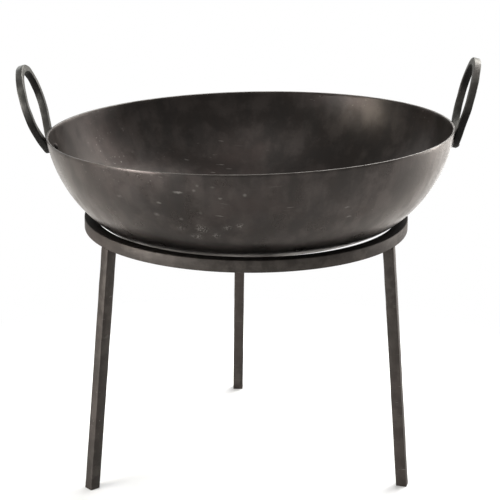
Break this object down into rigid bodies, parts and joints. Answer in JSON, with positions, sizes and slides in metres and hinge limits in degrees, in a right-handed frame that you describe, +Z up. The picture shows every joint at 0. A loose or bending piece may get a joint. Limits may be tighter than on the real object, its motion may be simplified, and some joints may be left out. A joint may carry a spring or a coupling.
{
  "type": "brazier",
  "caption": "Round steel fire bowl with loop handles at the sides, resting loose in a splayed ring stand of square bar",
  "frame": {"origin": "on the floor, under the middle of the object, which is within 4 mm of the axes of the bowl and the ring", "axes": "+Z up, handles along X, the back leg towards +Y"},
  "size_m": [0.6805, 0.5996, 0.6202],
  "materials": {
    "bowl_steel": "dark oiled satin, mottled, with fine scratches",
    "handle_steel": "dark forged satin",
    "rivet_steel": "hammered, dark",
    "weld_metal": "rippled bead, dark",
    "stand_steel": "brown-black satin bar"
  },
  "bodies": {
    "stand": {"stand_ring": "stand_steel", "ring_seam_weld": "weld_metal", "leg_left": "stand_steel", "leg_right": "stand_steel", "leg_back": "stand_steel", "leg_weld_left": "weld_metal", "leg_weld_right": "weld_metal", "leg_weld_back": "weld_metal"},
    "bowl": {"bowl": "bowl_steel", "handle_left": "handle_steel", "handle_right": "handle_steel", "handle_rivet_left": "rivet_steel", "handle_rivet_right": "rivet_steel", "handle_weld_left": "weld_metal", "handle_weld_right": "weld_metal"}
  },
  "joints": [
    {"name": "bowl_lift", "type": "slide", "parent": "stand", "child": "bowl", "axis": [0, 0, 1], "range_m": [0, 0.25]}
  ]
}
